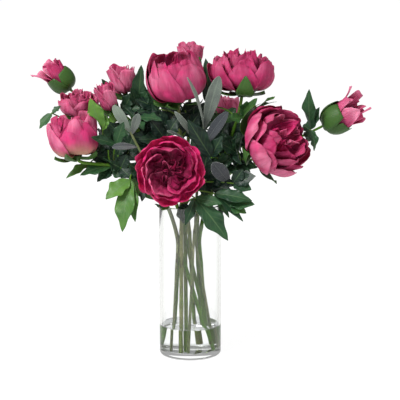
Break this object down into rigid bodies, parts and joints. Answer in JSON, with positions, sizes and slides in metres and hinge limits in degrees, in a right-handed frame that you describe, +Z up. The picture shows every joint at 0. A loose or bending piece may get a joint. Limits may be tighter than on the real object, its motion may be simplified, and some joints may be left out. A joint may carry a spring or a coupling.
{
  "type": "peonies in a vase",
  "caption": "Bouquet of pink peonies with dark foliage and grey lamb's ear, standing in a clear glass cylinder vase with a little water.",
  "frame": {"origin": "centre of the vase's flat underside", "axes": "+Z up along the vase's axis, -Y towards the side of the bouquet with the crimson bloom, +X to that side's right"},
  "size_m": [0.5456, 0.2128, 0.4934],
  "materials": {
    "vase_glass": "clear polished glass, faintly grey-green at the edges, with a thick clear base",
    "water": "clear still water",
    "foliage": "satin dark green leaves with paler undersides and veins, on yellow-green to brown stems",
    "grey_foliage": "matt grey-green velvet with fine short hairs",
    "petal_crimson": "soft matt crimson petals, lighter at the edges and darker in the folds",
    "petal_pink": "soft matt raspberry pink petals, lighter at the edges, with fine lengthwise veins"
  },
  "bodies": {
    "root": {"vase": "vase_glass", "water": "water", "stem_front": "foliage", "stem_right": "foliage", "stem_top": "foliage", "stem_crown": "foliage", "stem_left": "foliage", "stem_back_left": "foliage", "stem_behind": "foliage", "stem_far_right": "foliage", "lambs_ear_centre": "grey_foliage", "lambs_ear_right": "grey_foliage", "lambs_ear_left": "grey_foliage", "bloom_front": "petal_crimson", "bloom_right": "petal_pink", "bloom_top": "petal_pink", "bloom_crown": "petal_pink", "bloom_left": "petal_pink", "bloom_above": "petal_pink", "bloom_back_left": "petal_pink", "bloom_small_left": "petal_pink", "bloom_behind": "petal_pink", "bloom_far_right": "petal_pink", "bloom_bud_left": "petal_pink", "bloom_bud_right": "petal_pink"}
  },
  "joints": []
}
